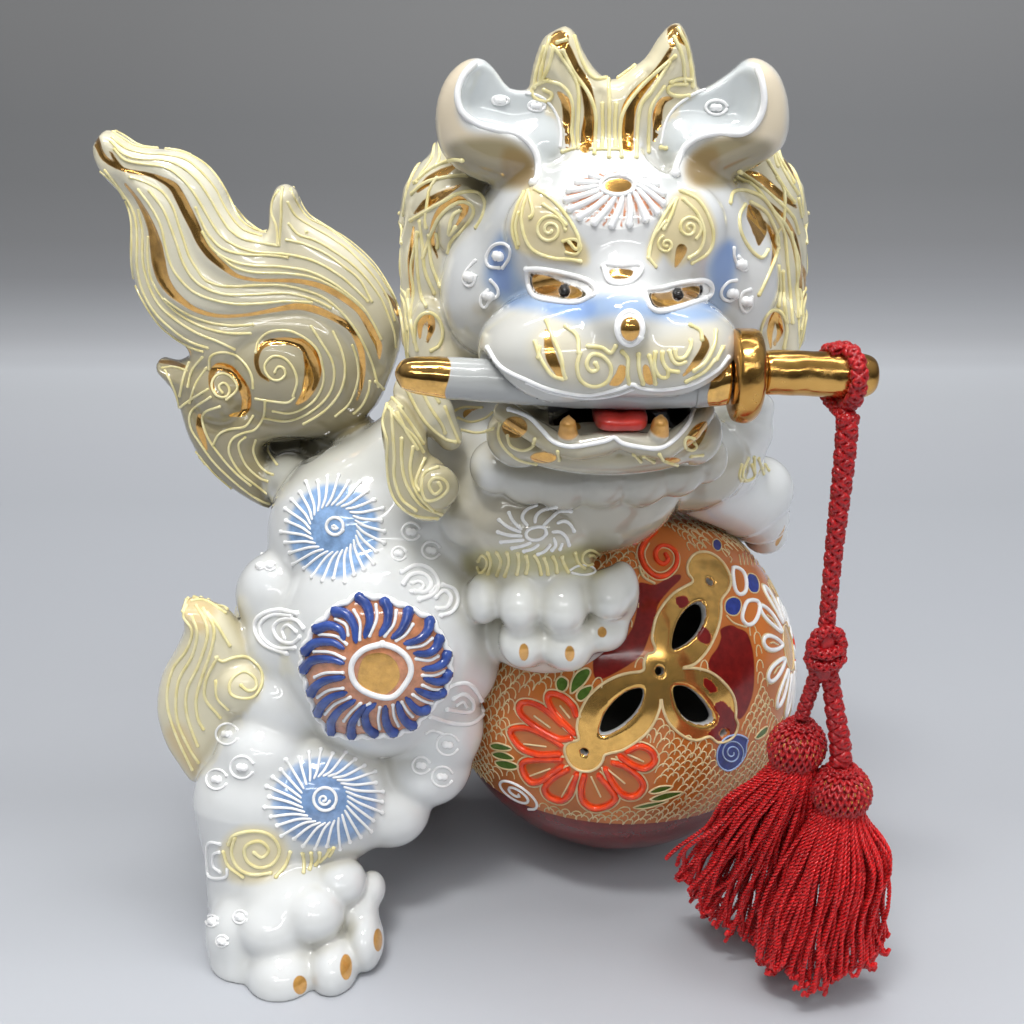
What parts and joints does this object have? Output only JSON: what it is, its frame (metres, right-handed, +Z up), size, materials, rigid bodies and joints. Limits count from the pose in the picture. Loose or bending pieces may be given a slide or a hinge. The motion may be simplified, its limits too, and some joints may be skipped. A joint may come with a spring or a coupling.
{
  "type": "guardian lion figurine",
  "caption": "Glazed porcelain guardian lion standing on a pierced openwork ball, a sword with a tasselled red cord held in its open mouth.",
  "frame": {"origin": "on the resting plane, under the middle of the porcelain figure's bounding box", "axes": "+Z up, +X towards the side the lion walks to (the viewer's right), -Y the way its face looks"},
  "size_m": [0.252, 0.1801, 0.2899],
  "materials": {
    "white_porcelain": "clear glossy glaze over white porcelain, raised white slip lines",
    "cream_porcelain": "glossy glaze, airbrushed cream and khaki, raised pale yellow enamel lines and gold bands",
    "gold_lustre": "bright fired gold over glossy glaze",
    "ball_enamel": "glossy enamels: dark red, orange, green, blue, raised cream scale pattern, gold rosette",
    "red_enamel": "satin red enamel",
    "crimson_thread": "twisted and braided crimson rayon thread with a soft sheen"
  },
  "bodies": {
    "lion": {"torso": "white_porcelain", "head": "white_porcelain", "lower_jaw": "white_porcelain", "tongue": "red_enamel", "ear_left": "white_porcelain", "ear_right": "white_porcelain", "crest": "cream_porcelain", "mane_left": "cream_porcelain", "mane_right": "cream_porcelain", "mane_back": "cream_porcelain", "shoulder_lock": "cream_porcelain", "tail": "cream_porcelain", "hind_leg_right": "white_porcelain", "hind_leg_left": "white_porcelain", "thigh_tuft_right": "cream_porcelain", "thigh_tuft_left": "cream_porcelain", "foreleg_right": "white_porcelain", "foreleg_left": "white_porcelain", "ball": "ball_enamel"},
    "sword": {"scabbard": "white_porcelain", "sword_collar": "gold_lustre", "sword_guard": "gold_lustre", "sword_hilt": "gold_lustre"},
    "cord": {"cord_loop": "crimson_thread", "cord_stem": "crimson_thread", "cord_knot": "crimson_thread"},
    "tassel_left": {"cord_branch_left": "crimson_thread", "tassel_head_left": "crimson_thread", "tassel_skirt_left": "crimson_thread"},
    "tassel_right": {"cord_branch_right": "crimson_thread", "tassel_head_right": "crimson_thread", "tassel_skirt_right": "crimson_thread"}
  },
  "joints": [
    {"name": "sword_slide", "type": "slide", "parent": "lion", "child": "sword", "axis": [1, 0, 0], "range_m": [0, 0.14]},
    {"name": "cord_swing", "type": "hinge", "parent": "sword", "child": "cord", "pos_m": [0.10233, -0.0657, 0.1996], "axis": [-1, 0, 0], "range_deg": [0, 40]},
    {"name": "tassel_left_swing", "type": "hinge", "parent": "cord", "child": "tassel_left", "pos_m": [0.10113, -0.0737, 0.109], "axis": [0, 1, 0], "range_deg": [0, 25]},
    {"name": "tassel_right_swing", "type": "hinge", "parent": "cord", "child": "tassel_right", "pos_m": [0.10513, -0.0747, 0.109], "axis": [0, -1, 0], "range_deg": [0, 40]}
  ]
}
